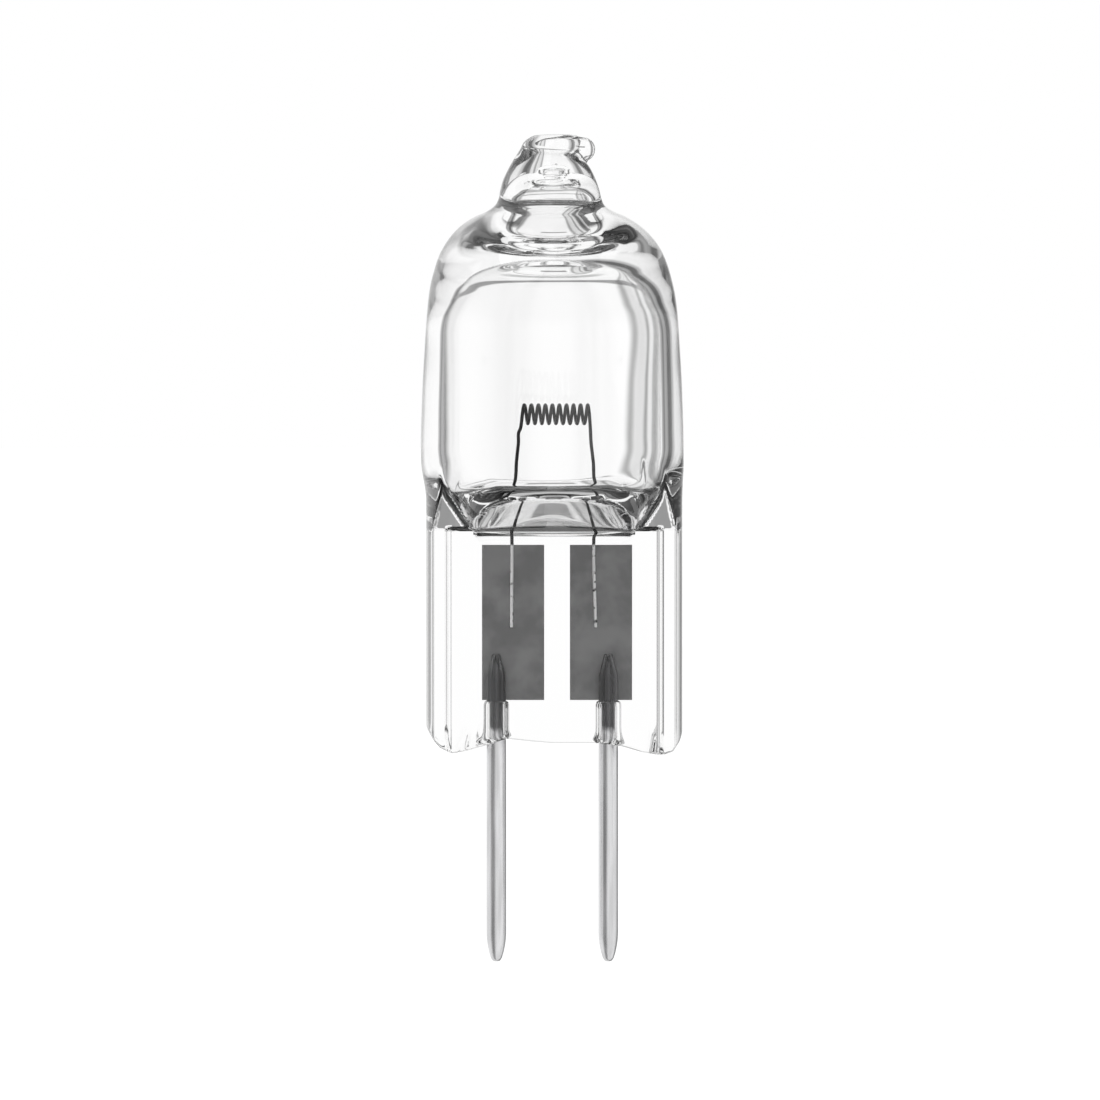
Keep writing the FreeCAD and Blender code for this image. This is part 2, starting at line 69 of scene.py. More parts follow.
# Lower outline of the seal with its two feet: place along X and level
SEAL_FOOT = [
    (-4.60, 1.10), (-4.47, 0.83), (-4.25, 0.52), (-4.01, 0.26), (-3.58, 0.04), (-3.10, 0.11),
    (-2.47, 0.29), (-1.62, 0.56), (-0.80, 0.47), (0.00, 0.40), (1.70, 0.40), (2.49, 0.29),
    (3.20, 0.08), (3.67, 0.00), (4.05, 0.02), (4.30, 0.12), (4.55, 0.42), (4.75, 0.90),
]
# The cavity, from its floor up to the closed end of the hole in the tip: level, half width and
# half depth
CAVITY = [
    (8.55, 2.40, 0.90), (8.56, 2.56, 1.02), (8.60, 2.72, 1.15), (8.70, 2.88, 1.42),
    (8.87, 3.02, 1.88), (9.08, 3.16, 2.44), (9.30, 3.32, 3.02), (9.44, 3.43, 3.38),
    (9.53, 3.50, 3.60), (9.60, 3.56, 3.73), (9.70, 3.62, 3.83), (9.84, 3.70, 3.87),
    (10.02, 3.77, 3.88), (10.32, 3.84, 3.88), (10.75, 3.88, 3.88), (11.30, 3.88, 3.88),
    (13.00, 3.88, 3.88), (14.90, 3.88, 3.88), (15.60, 3.81, 3.81), (16.20, 3.65, 3.65),
    (16.75, 3.42, 3.42), (17.20, 3.13, 3.13), (17.52, 2.82, 2.82), (17.72, 2.50, 2.50),
    (17.81, 2.20, 2.20), (17.83, 1.86, 1.86), (17.84, 1.60, 1.60), (17.90, 1.42, 1.42),
    (18.05, 1.34, 1.34), (18.60, 1.32, 1.32), (19.30, 1.33, 1.33), (19.80, 1.27, 1.27),
    (20.15, 1.08, 1.08), (20.36, 0.80, 0.80), (20.44, 0.52, 0.52), (20.52, 0.42, 0.40),
    (20.62, 0.40, 0.36), (20.70, 0.26, 0.24), (20.73, 0.10, 0.10),
]
# Wall of the clear channel round a pin: what is added to the radius of its mouth, and further up to
# the radius of the channel, and the level. Its mouth follows the seal's lower outline, and its rings
# lie flat from CHANNEL_LEVEL up.
MOUTH_WALL = [(0.0, 0.0), (-0.10, 0.05), (-0.19, 0.16)]
CHANNEL_WALL = [
    (0.06, 0.42), (0.01, 0.70), (0.0, 0.95), (0.0, 1.2), (0.0, 1.5), (0.0, 1.76), (-0.03, 1.84),
    (-0.12, 1.90), (-0.28, 1.925),
]
CHANNEL_LEVEL = 0.9
CHANNEL_TOP = 1.93
# A pin's rounded point below, and its blunt end on the foil: radius and level. Between them are the
# levels of its bare side and of its side in the seal, which is a little slimmer.
PIN_POINT = [
    (0.0, -7.46), (0.08, -7.452), (0.14, -7.42), (0.20, -7.32), (0.26, -7.12), (0.31, -6.88),
    (0.34, -6.66),
]
PIN_BARE = (-6.45, -5.0, -2.5, 0.0)
PIN_SEALED = (1.4, 2.81)
PIN_DRAW = 0.01
PIN_END = [(0.15, 3.52), (0.11, 3.56), (0.0, 3.565)]
PINS_ACROSS = {"left": -2.0, "right": 2.0}
# Folds pressed into the feet: place along X, how far it leans with the height, half width and
# depth
FOOT_FOLDS = [
    (-3.15, 0.25, 0.16, 0.10), (-2.75, 0.10, 0.10, 0.07), (3.45, 0.20, 0.15, 0.08),
]
# Radius of the edges along the feet
FOOT_EDGE = 0.14
# Levels: where the seal's rings lie flat, where they get closer and where the shoulder sets in, the
# seal's top edge, the lower end of the round tube and the top of the tip
FLAT_RING = 1.6
CLOSE_RINGS = 7.3
SHOULDER_FOOT = 7.55
SEAL_TOP = 8.04
TUBE_BASE = 10.75
TIP_TOP = 22.11
TUBE_RADIUS = 4.70
# Shoulder: how much its wings, its front and back, and its round sides grow with each millimetre of
# height, the level where that sets in, the half width of the sides there, and the blends between them
WING_SLOPE, WING_EDGE = 0.443, 0.14
FACE_SLOPE, FACE_FOOT, FACE_BLEND = 2.45, 7.87, 0.28
SIDE_SLOPE, SIDE_FOOT, SIDE_HALF_WIDTH, SIDE_BLEND = 0.85, 7.79, 2.80, 0.4
SHOULDER_BLEND = 0.10
# Rib along each side of the seal: how far its inner slope lies from the side
RIB_SLOPE = (0.84, 0.70)
# Bead at the tip's side: place along X and level
BEAD_PLACE = (1.09, 21.56)
# Levels near the foils' lower and upper ends, where the finish of the pins changes and the painted
# reflection on the legs begins
FOIL_FOOT = 1.90
FOIL_TOP = 7.45
# Small voids melted into the tip: middle, half sizes and tilt about Y in degrees
TIP_VOIDS = [
    ((-0.23, -0.10, 21.52), (0.66, 0.52, 0.035), 3.0),
    ((0.80, 0.10, 21.60), (0.24, 0.20, 0.030), 18.0),
    ((-0.62, -0.20, 21.83), (0.17, 0.16, 0.085), -20.0),
    ((0.08, -0.30, 20.83), (0.035, 0.035, 0.035), 0.0),
    ((-0.86, -0.35, 20.52), (0.12, 0.08, 0.030), -28.0),
]
# Shade of the surroundings seen through the quartz, by degrees to the right of straight ahead:
# first where light comes straight through, then where the quartz reflects it inside
THROUGH_STRIPS = [
    (0, 1.0), (6.5, 1.0), (8.3, 0.36), (9.8, 0.74), (12.4, 0.78), (14.2, 0.30), (16.2, 0.80),
    (18, 0.74), (19.8, 0.24), (23, 0.10), (27, 0.12), (32, 0.60), (38, 0.9), (48, 0.9),
    (52, 0.32), (57, 0.18), (62, 0.60), (67, 1.0), (90, 1.0),
]
BOUNCED_STRIPS = [
    (0, 1.0), (19, 0.95), (25, 0.5), (30, 0.11), (35, 0.09), (39, 0.34), (42, 0.40),
    (45, 0.20), (48, 0.45), (51, 1.0), (90, 1.0),
]
# Darker bands of the surroundings seen straight through the quartz, by the sine of the height above
# the horizon: where a band sets in, is full, begins to fade and ends, and its shade. The low one
# shows only within a few degrees of straight ahead.
HIGH_BANDS = [((0.36, 0.38, 0.42, 0.44), 0.30), ((0.56, 0.62, 0.70, 0.78), 0.45)]
LOW_BAND = ((-0.168, -0.150, -0.100, -0.085), 0.30)
LOW_BAND_SIDES = (4, 6, 84, 86)
# Direction from which the metal reflects the darkest part of the surroundings
DARK_SIDE = math.radians(-139.0)
# What the camera looks at, in millimetres
CAMERA_AIM = (-0.082, 0, 7.257)
# Ways of the filament's legs, from the coil's ends down to the foils. The first place of each lies at
# the coil's radius in front of its axis or behind it.
LEFT_LEG = [
    (-1.067, -0.325, 12.045), (-1.10, -0.325, 11.74), (-1.135, -0.315, 11.55),
    (-1.20, -0.30, 11.41), (-1.205, -0.27, 11.06), (-1.37, 0.03, 9.72), (-1.46, 0.22, 8.95),
    (-1.455, 0.284, 8.45), (-1.44, 0.284, 7.40), (-1.457, 0.284, 4.50),
]
RIGHT_LEG = [
    (1.327, 0.325, 12.045), (1.36, 0.325, 11.60), (1.40, 0.32, 10.97), (1.54, 0.30, 9.97),
    (1.65, 0.29, 9.30), (1.57, 0.284, 8.50), (1.475, 0.284, 7.47), (1.55, 0.284, 4.50),
]


class CapsuleSizes(bpy.types.PropertyGroup):
    """Sizes of the dressed pieces"""
    seal_width: FloatProperty(
        name="Seal Width", description="Pressed seal, from side to side",
        default=9.16 * MM, unit="LENGTH")
    seal_shift: FloatProperty(
        name="Seal Shift", description="How far the seal lies to the right of the tube",
        default=0.07 * MM, unit="LENGTH")
    rib_thickness: FloatProperty(
        name="Rib Thickness", description="Seal across its side ribs",
        default=3.0 * MM, unit="LENGTH")
    web_thickness: FloatProperty(
        name="Web Thickness", description="Seal across its flat web",
        default=2.4 * MM, unit="LENGTH")
    channel_radius: FloatProperty(
        name="Channel Radius", description="Clear channel round a pin, below its foil",
        default=0.46 * MM, unit="LENGTH")
    mouth_radius: FloatProperty(
        name="Mouth Radius", description="Where that channel opens below",
        default=0.80 * MM, unit="LENGTH")
    bead_radius: FloatProperty(
        name="Bead Radius", description="Bead of quartz at the side of the tip",
        default=0.44 * MM, unit="LENGTH")
    quartz_steps: IntProperty(
        name="Quartz Steps", description="Faces round the quartz", default=240, min=48, max=288)
    pin_radius: FloatProperty(
        name="Pin Radius", description="Round pin", default=0.35 * MM, unit="LENGTH")
    wire_radius: FloatProperty(
        name="Wire Radius", description="Filament wire", default=0.062 * MM, unit="LENGTH")
    coil_turns: FloatProperty(
        name="Coil Turns", description="Turns of the coil", default=9.5)
    coil_steps: IntProperty(
        name="Coil Steps", description="Faces along one turn of the coil", default=36, min=12)


class CapsuleFinish(bpy.types.PropertyGroup):
    """Colours of the dressed pieces"""
    quartz: FloatVectorProperty(
        name="Quartz", description="Colour of clear quartz", subtype="COLOR", size=4,
        min=0, max=1, default=(0.995, 0.995, 0.995, 1))
    # Painted shade: colour that darkens the quartz where it is seen at a flat angle
    quartz_edge_painted_shade: FloatVectorProperty(
        name="Quartz Edge", description="Colour of quartz seen at a flat angle", subtype="COLOR",
        size=4, min=0, max=1, default=(0.28, 0.28, 0.28, 1))
    tungsten: FloatVectorProperty(
        name="Tungsten", description="Colour of the coil and legs", subtype="COLOR", size=4,
        min=0, max=1, default=(0.055, 0.054, 0.056, 1))
    # Painted reflection: silvery patches on the legs where they lie over the foils
    leg_painted_reflection: FloatVectorProperty(
        name="Bright Leg", description="Colour of the legs where they are welded to the foils",
        subtype="COLOR", size=4, min=0, max=1, default=(0.92, 0.92, 0.92, 1))
    foil: FloatVectorProperty(
        name="Foil", description="Colour of the molybdenum foils", subtype="COLOR", size=4,
        min=0, max=1, default=(0.29, 0.29, 0.292, 1))
    pin: FloatVectorProperty(
        name="Pin", description="Colour of the bare molybdenum pins", subtype="COLOR", size=4,
        min=0, max=1, default=(0.77, 0.77, 0.78, 1))
    pin_sealed: FloatVectorProperty(
        name="Sealed Pin", description="Colour of the pins where the quartz holds them",
        subtype="COLOR", size=4, min=0, max=1, default=(0.06, 0.06, 0.062, 1))
    pin_foil: FloatVectorProperty(
        name="Pin On Foil", description="Colour of the pins' sides where they meet the foils",
        subtype="COLOR", size=4, min=0, max=1, default=(0.13, 0.13, 0.132, 1))


class CapsuleStage(bpy.types.PropertyGroup):
    """Floor, camera and light"""
    floor_drop: FloatProperty(
        name="Floor Drop", description="Floor below the seating plane", default=14 * MM,
        unit="LENGTH")
    floor_radius: FloatProperty(
        name="Floor Radius", description="Size of the floor", default=0.9, unit="LENGTH")
    camera_distance: FloatProperty(
        name="Camera Distance", description="From the camera to the bulb", default=0.5,
        unit="LENGTH")
    camera_rise: FloatProperty(
        name="Camera Rise", description="Height of the camera above the horizon",
        default=math.radians(2.0), subtype="ANGLE")
    view_width: FloatProperty(
        name="View Width", description="Width of the picture at the bulb",
        default=39.286 * MM, unit="LENGTH")
    world_light: FloatProperty(
        name="World Light", description="Strength of the light from all round", default=0.8)


def ease(value, low, high):
    """0 below low, 1 above high, and smooth between them."""
    part = min(max((value - low) / (high - low), 0.0), 1.0)
    return part * part * (3 - 2 * part)


def soft_max(a, b, blend):
    """The larger of two numbers, with a rounded change from one to the other."""
    return max(a, b) + max(blend - abs(a - b), 0.0) ** 2 / (4 * blend)


def soft_min(a, b, blend):
    """The smaller of two numbers, with a rounded change from one to the other."""
    return -soft_max(-a, -b, blend)


def curve_through(knots, step):
    """Points of a smooth curve through knots, about one step apart."""
    points = [Vector(knot) for knot in knots]
    found = [points[0]]
    for index in range(len(points) - 1):
        start, end = points[index], points[index + 1]
        before = points[max(index - 1, 0)]
        after = points[min(index + 2, len(points) - 1)]
        length = (end - start).length
        lead = (end - before).normalized() * length / 3
        trail = (after - start).normalized() * length / 3
        count = max(int(math.ceil(length / step)), 1) + 1
        found += interpolate_bezier(start, start + lead, end - trail, end, count)[1:]
    return found


def level_at(knots, place):
    """Level of an outline at a place along it, straight between its knots."""
    if place <= knots[0][0]:
        return knots[0][1]
    for (x0, z0), (x1, z1) in zip(knots, knots[1:]):
        if place <= x1:
            part = (place - x0) / (x1 - x0)
            return z0 + (z1 - z0) * part
    return knots[-1][1]


def ringed_wall(bm, rows, steps):
    """A wall of rings. Each row is a function that gives a ring's place for a turn. Returns the
    edges of the first ring and the corners of the last one."""
    known = set(bm.verts)
    line = [bm.verts.new((1, 0, index)) for index in range(len(rows))]
    rungs = [bm.edges.new(pair) for pair in zip(line, line[1:])]
    bmesh.ops.spin(bm, geom=line + rungs, cent=(0, 0, 0), axis=(0, 0, 1), dvec=(0, 0, 0),
                   angle=math.tau / 8, steps=steps // 8, use_merge=False, use_duplicate=False)
    corners = [vertex for vertex in bm.verts if vertex not in known]
    edges = dict.fromkeys(edge for vertex in corners for edge in vertex.link_edges)
    faces = dict.fromkeys(face for edge in edges for face in edge.link_faces)
    wall = [*corners, *edges, *faces]
    for share in (8, 4, 2):
        copy = bmesh.ops.duplicate(bm, geom=wall)["geom"]
        bmesh.ops.rotate(bm, cent=(0, 0, 0), matrix=Matrix.Rotation(math.tau / share, 3, "Z"),
                         verts=[item for item in copy if isinstance(item, bmesh.types.BMVert)])
        wall += copy
    bmesh.ops.remove_doubles(bm, verts=[vertex for vertex in bm.verts if vertex not in known],
                             dist=0.001)
    made = [vertex for vertex in bm.verts if vertex not in known]
    ends = {0: [], len(rows) - 1: []}
    for vertex in made:
        row = round(vertex.co.z)
        if row in ends:
            ends[row].append(vertex)
        vertex.co = rows[row](math.atan2(vertex.co.y, vertex.co.x))
    first, last = ends.values()
    members = set(first)
    rim = [edge for vertex in first for edge in vertex.link_edges
           if edge.verts[0] is vertex and edge.other_vert(vertex) in members]
    return rim, last


def finish_piece(bm, name, material, node):
    """Bring a piece to metres, give it its finish and let it stand for its CAD node."""
    bmesh.ops.scale(bm, vec=(MM, MM, MM), verts=bm.verts)
    for face in bm.faces:
        face.smooth = True
    for edge in bm.edges:
        if len(edge.link_faces) == 2 and edge.calc_face_angle(0.0) > SHARP_ANGLE:
            edge.smooth = False
    mesh = bpy.data.meshes.new(name)
    bm.to_mesh(mesh)
    bm.free()
    mesh.materials.append(material)
    piece = bpy.data.objects.new(name, mesh)
    bpy.context.scene.collection.objects.link(piece)
    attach(piece, "root")
    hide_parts(node)


def new_material(name):
    """An empty material with a Principled shader, and its nodes, links and shader."""
    material = bpy.data.materials.new(name)
    material.use_nodes = True
    nodes, links = material.node_tree.nodes, material.node_tree.links
    nodes.clear()
    output = nodes.new("ShaderNodeOutputMaterial")
    shader = nodes.new("ShaderNodeBsdfPrincipled")
    links.new(shader.outputs[0], output.inputs["Surface"])
    return material, nodes, links, shader


def object_noise(nodes, links, scale, detail, stretch=(1, 1, 1)):
    """Noise on Object coordinates. Stretch is the pattern's frequency along each axis."""
    coordinates = nodes.new("ShaderNodeTexCoord")
    mapping = nodes.new("ShaderNodeMapping")
    mapping.inputs["Scale"].default_value = stretch
    noise = nodes.new("ShaderNodeTexNoise")
    noise.inputs["Scale"].default_value = scale
    noise.inputs["Detail"].default_value = detail
    links.new(coordinates.outputs["Object"], mapping.inputs["Vector"])
    links.new(mapping.outputs["Vector"], noise.inputs["Vector"])
    return noise.outputs["Fac"]


def map_range(nodes, links, value, low, high, to_low=0.0, to_high=1.0):
    """A number brought from one range to another, smoothly."""
    node = nodes.new("ShaderNodeMapRange")
    node.interpolation_type = "SMOOTHSTEP"
    links.new(value, node.inputs["Value"])
    node.inputs["From Min"].default_value = low
    node.inputs["From Max"].default_value = high
    node.inputs["To Min"].default_value = to_low
    node.inputs["To Max"].default_value = to_high
    return node.outputs["Result"]


def math_node(nodes, links, kind, *operands):
    """One sum of the node tree. An operand is a socket or a number."""
    node = nodes.new("ShaderNodeMath")
    node.operation = kind
    for socket, operand in zip(node.inputs, operands):
        if isinstance(operand, (int, float)):
            socket.default_value = operand
        else:
            links.new(operand, socket)
    return node.outputs[0]


def pick(nodes, links, factor, off, on):
    """One number where the factor is 0, and another where it is 1."""
    rest = math_node(nodes, links, "SUBTRACT", 1.0, factor)
    return math_node(nodes, links, "ADD", math_node(nodes, links, "MULTIPLY", off, rest),
                     math_node(nodes, links, "MULTIPLY", on, factor))


def mix_colour(nodes, links, factor, first, second):
    """A mix of two colours, each a socket or four numbers."""
    node = nodes.new("ShaderNodeMix")
    node.data_type = "RGBA"
    links.new(factor, node.inputs["Factor"])
    for name, colour in (("A", first), ("B", second)):
        socket = next(item for item in node.inputs if item.name == name and item.type == "RGBA")
        if isinstance(colour, bpy.types.NodeSocket):
            links.new(colour, socket)
        else:
            socket.default_value = colour
    return next(item for item in node.outputs if item.type == "RGBA")


def bump(nodes, links, shader, height, strength, distance):
    """Fine relief on a shader, its depth in metres."""
    node = nodes.new("ShaderNodeBump")
    node.inputs["Strength"].default_value = strength
    node.inputs["Distance"].default_value = distance
    links.new(height, node.inputs["Height"])
    links.new(node.outputs["Normal"], shader.inputs["Normal"])


def height_coordinate(nodes, links):
    """Height above the seating plane, in metres."""
    coordinates = nodes.new("ShaderNodeTexCoord")
    split = nodes.new("ShaderNodeSeparateXYZ")
    links.new(coordinates.outputs["Object"], split.inputs["Vector"])
    return split.outputs["Z"]


def quartz_material(finish):
    """Clear quartz, with painted shade where it is seen at a flat angle, standing in for the dark
    edges of glass.
    """
    material, nodes, links, shader = new_material("clear_quartz")
    shader.inputs["Transmission Weight"].default_value = 1.0
    shader.inputs["Roughness"].default_value = 0.0
    shader.inputs["IOR"].default_value = 1.458
    # Painted shade: the quartz gets a darker colour where it is seen at a flat angle, for the dark
    # edges of glass
    weight = nodes.new("ShaderNodeLayerWeight")
    weight.inputs["Blend"].default_value = 0.5
    edge = map_range(nodes, links, weight.outputs["Facing"], 0.74, 0.88)
    colour = mix_colour(nodes, links, edge, finish.quartz, finish.quartz_edge_painted_shade)
    links.new(colour, shader.inputs["Base Color"])
    ripple = object_noise(nodes, links, 420.0, 2.0, (1, 1, 0.45))
    bump(nodes, links, shader, ripple, 1.0, 0.006 * MM)
    return material


def tungsten_material(finish):
    """Dark drawn tungsten, with a painted silvery reflection in patches on the legs below the foils'
    top.
    """
    material, nodes, links, shader = new_material("tungsten_wire")
    shader.inputs["Metallic"].default_value = 1.0
    grain = object_noise(nodes, links, 9000.0, 4.0)
    height = height_coordinate(nodes, links)
    # Painted reflection: bright silvery patches on the legs below the foils' top
    legs_over_foils = map_range(nodes, links, height, (FOIL_TOP + 0.07) * MM, (FOIL_TOP - 0.07) * MM)
    patch = map_range(nodes, links, object_noise(nodes, links, 5200.0, 2.0), 0.26, 0.46)
    painted_reflection_patch = math_node(nodes, links, "MULTIPLY", legs_over_foils, patch)
    dark = mix_colour(nodes, links, grain, (0.02, 0.02, 0.02, 1), finish.tungsten)
    colour = mix_colour(nodes, links, painted_reflection_patch, dark, finish.leg_painted_reflection)
    links.new(colour, shader.inputs["Base Color"])
    links.new(map_range(nodes, links, grain, 0.3, 0.7, 0.32, 0.5), shader.inputs["Roughness"])
    bump(nodes, links, shader, grain, 0.35, 0.004 * MM)
    return material


def foil_material(finish):
    """Rolled molybdenum foil: mottled grey, with faint rolling lines."""
    material, nodes, links, shader = new_material("molybdenum_foil")
    shader.inputs["Metallic"].default_value = 0.7
    cloud = object_noise(nodes, links, 620.0, 6.0)
    rolling = object_noise(nodes, links, 2600.0, 3.0, (1.0, 1.0, 0.06))
    darker = tuple(part * 0.60 for part in finish.foil[:3]) + (1,)
    lighter = tuple(min(part * 1.30, 1.0) for part in finish.foil[:3]) + (1,)
    spread = map_range(nodes, links, cloud, 0.34, 0.66)
    links.new(mix_colour(nodes, links, spread, darker, lighter), shader.inputs["Base Color"])
    links.new(map_range(nodes, links, cloud, 0.3, 0.7, 0.42, 0.6), shader.inputs["Roughness"])
    bump(nodes, links, shader, rolling, 0.4, 0.006 * MM)
    return material


def pin_material(finish):
    """Drawn molybdenum, bright outside the quartz and dark where it is sealed in."""
    material, nodes, links, shader = new_material("molybdenum_pin")
    shader.inputs["Metallic"].default_value = 1.0
    drawn = object_noise(nodes, links, 5200.0, 4.0, (1.0, 1.0, 0.05))
    cloud = object_noise(nodes, links, 1500.0, 4.0)
    height = height_coordinate(nodes, links)
    wander = math_node(nodes, links, "MULTIPLY_ADD", cloud, 0.7 * MM, height)
    sealed = map_range(nodes, links, wander, 1.02 * MM, 1.32 * MM)
    dull = tuple(part * 0.78 for part in finish.pin[:3]) + (1,)
    bare = mix_colour(nodes, links, map_range(nodes, links, drawn, 0.35, 0.65), dull, finish.pin)
    weight = nodes.new("ShaderNodeLayerWeight")
    weight.inputs["Blend"].default_value = 0.5
    side = map_range(nodes, links, weight.outputs["Facing"], 0.30, 0.72)
    end = map_range(nodes, links, wander, 2.9 * MM, 3.8 * MM)
    on_foil = map_range(nodes, links, height, (FOIL_FOOT - 0.04) * MM, (FOIL_FOOT + 0.04) * MM)
    faint = math_node(nodes, links, "MULTIPLY", on_foil,
                      math_node(nodes, links, "MAXIMUM", side, end))
    held = mix_colour(nodes, links, faint, finish.pin_sealed, finish.pin_foil)
    links.new(mix_colour(nodes, links, sealed, bare, held), shader.inputs["Base Color"])
    links.new(map_range(nodes, links, drawn, 0.3, 0.7, 0.2, 0.34), shader.inputs["Roughness"])
    bump(nodes, links, shader, drawn, 0.5, 0.004 * MM)
    return material


class CAPSULE_OT_quartz(bpy.types.Operator):
    """Make the quartz envelope: tip, dome, tube, shoulder and pressed seal around the cavity"""
    bl_idname = "capsule.quartz"
    bl_label = "Quartz Capsule"

    def lower_half_depth(self, side, level):
        """Half depth of the quartz below the round tube, at a distance from its middle plane:
        the flat seal with its ribs, the wings beside the shoulder, and the shoulder itself."""
        sizes = self.sizes
        half_width = self.lower_half_width(level)
        circle = math.sqrt(max(half_width ** 2 - side ** 2, 0.0))
        rib, web = sizes.rib_thickness / MM / 2, sizes.web_thickness / MM / 2
        on_rib = ease(side, half_width - RIB_SLOPE[0], half_width - RIB_SLOPE[1])
        under_top = 1 - ease(level, SEAL_TOP - 0.06, SEAL_TOP + 0.10)
        jaw = rib - (rib - web) * (1 - on_rib) * under_top
        jaw += WING_SLOPE * max(level - SEAL_TOP, 0.0)
        wing = soft_min(jaw, circle, WING_EDGE) if circle > WING_EDGE else circle
        if level < SHOULDER_FOOT:
            return wing
        face = soft_max(web, web + FACE_SLOPE * (level - FACE_FOOT), FACE_BLEND)
        drawn = soft_min(SIDE_HALF_WIDTH + SIDE_SLOPE * (level - SIDE_FOOT), TUBE_RADIUS,
                         SIDE_BLEND)
        flank = TUBE_RADIUS * math.sqrt(max(1 - (side / drawn) ** 2, 0.0))
        chamber = soft_min(face, flank, SHOULDER_BLEND) if flank > 0.05 else flank
        return min(soft_max(wing, chamber, SHOULDER_BLEND), circle)

    def lower_half_width(self, level):
        """Half width of the quartz below the round tube."""
        return self.sizes.seal_width / MM / 2 + 0.12 * ease(level, 9.0, 10.5)

    def lower_place(self, turn, level, inset):
        """A place on the outside of the seal or shoulder, or inset from it by a rounded edge."""
        shift = self.sizes.seal_shift / MM * (1 - ease(level, 9.0, 10.6))
        half_width = self.lower_half_width(level)
        depth = self.lower_half_depth(abs(half_width * math.cos(turn)), level)
        depth = max(depth - inset * min(depth / 0.6, 1.0), 0.0)
        across = shift + (half_width - inset) * math.cos(turn)
        return Vector((across, math.copysign(depth, math.sin(turn)), level))

    def foot_place(self, turn, share, inset, lift):
        """As lower_place, between the feet's outline and the level where the rings lie flat."""
        place = self.lower_place(turn, FLAT_RING, inset)
        foot = level_at(SEAL_FOOT, place.x)
        place.z = foot + lift + (FLAT_RING - foot - lift) * share
        fold = sum(depth * math.exp(-((place.x - across - lean * share) / half_width) ** 2)
                   for across, lean, half_width, depth in FOOT_FOLDS)
        place.y -= math.copysign(fold, place.y) * (1 - ease(share, 0.05, 0.75))
        return place

    def round_place(self, turn, level, radius, shift):
        """A place on the outside of the round quartz, with the bead at the tip's side."""
        bead = self.sizes.bead_radius / MM
        reach = radius
        height = (level - BEAD_PLACE[1]) / bead
        if abs(height) < 1:
            ball = bead * math.sqrt(1 - height * height)
            distance = BEAD_PLACE[0] - shift
            off = distance * math.sin(turn)
            if math.cos(turn) > 0 and abs(off) < ball:
                far = distance * math.cos(turn) + math.sqrt(ball * ball - off * off)
                reach = soft_max(radius, far, 0.06)
        return Vector((shift + reach * math.cos(turn), reach * math.sin(turn), level))

    def make_outside(self, bm, steps):
        """The outer wall, from the edge of the feet up to the top of the tip."""
        rows = []
        for part in range(6):
            angle = part / 5 * math.pi / 2
            inset, lift = FOOT_EDGE * (1 - math.sin(angle)), FOOT_EDGE * (1 - math.cos(angle))
            rows.append(partial(self.foot_place, share=0.0, inset=inset, lift=lift))
        for part in range(1, 15):
            rows.append(partial(self.foot_place, share=part / 14, inset=0.0, lift=FOOT_EDGE))
        for part in range(1, 19):
            level = FLAT_RING + part / 18 * (CLOSE_RINGS - FLAT_RING)
            rows.append(partial(self.lower_place, level=level, inset=0.0))
        for part in range(1, 57):
            level = CLOSE_RINGS + part / 57 * (TUBE_BASE - CLOSE_RINGS)
            rows.append(partial(self.lower_place, level=level, inset=0.0))
        for level, radius, shift in curve_through(ROUND_OUTSIDE, RING_STEP):
            rows.append(partial(self.round_place, level=level, radius=radius, shift=shift))
        rim, top = ringed_wall(bm, rows, steps)
        middle = Vector((ROUND_OUTSIDE[-1][2], 0, TIP_TOP))
        bmesh.ops.pointmerge(bm, verts=top, merge_co=middle)
        return rim

    def make_channel(self, bm, across):
        """The clear channel round a pin, up from its mouth, and its lowest ring of edges."""
        sizes = self.sizes
        radius, mouth = sizes.channel_radius / MM, sizes.mouth_radius / MM

        def place(turn, size, level):
            x = across + size * math.cos(turn)
            foot = level_at(SEAL_FOOT, x) * max(1 - level / CHANNEL_LEVEL, 0.0)
            return Vector((x, size * math.sin(turn), foot + level))

        rows = [partial(place, size=base + added, level=level)
                for base, wall in ((mouth, MOUTH_WALL), (radius, CHANNEL_WALL))
                for added, level in wall]
        rim, top = ringed_wall(bm, rows, 64)
        bmesh.ops.pointmerge(bm, verts=top, merge_co=Vector((across, 0, CHANNEL_TOP)))
        return rim

    def make_bottom(self, bm, rims):
        """The underside of the seal, between its rim and the mouths of the two channels."""
        geom = bmesh.ops.triangle_fill(bm, use_beauty=True, use_dissolve=False, edges=rims,
                                       normal=(0, 0, -1))["geom"]
        geom += dict.fromkeys(vertex for edge in rims for vertex in edge.verts)
        geom += rims
        for knot in SEAL_FOOT[1:-1]:
            geom = bmesh.ops.bisect_plane(bm, geom=geom, dist=0.0005, plane_co=(knot[0], 0, 0),
                                          plane_no=(1, 0, 0))["geom"]
        for item in geom:
            if isinstance(item, bmesh.types.BMVert):
                item.co.z = level_at(SEAL_FOOT, item.co.x)

    def make_cavity(self, bm, steps):
        """The hollow inside, its faces turned to the hollow."""
        known = set(bm.faces)

        def place(turn, point):
            return Vector((point[1] * math.cos(turn), point[2] * math.sin(turn), point[0]))

        rows = [partial(place, point=point) for point in curve_through(CAVITY, RING_STEP)]
        floor_rim, top = ringed_wall(bm, rows, steps)
        bmesh.ops.contextual_create(bm, geom=floor_rim)
        bmesh.ops.pointmerge(bm, verts=top, merge_co=Vector((0, 0, CAVITY[-1][0] + 0.005)))
        self.turn_inward(bm, known)

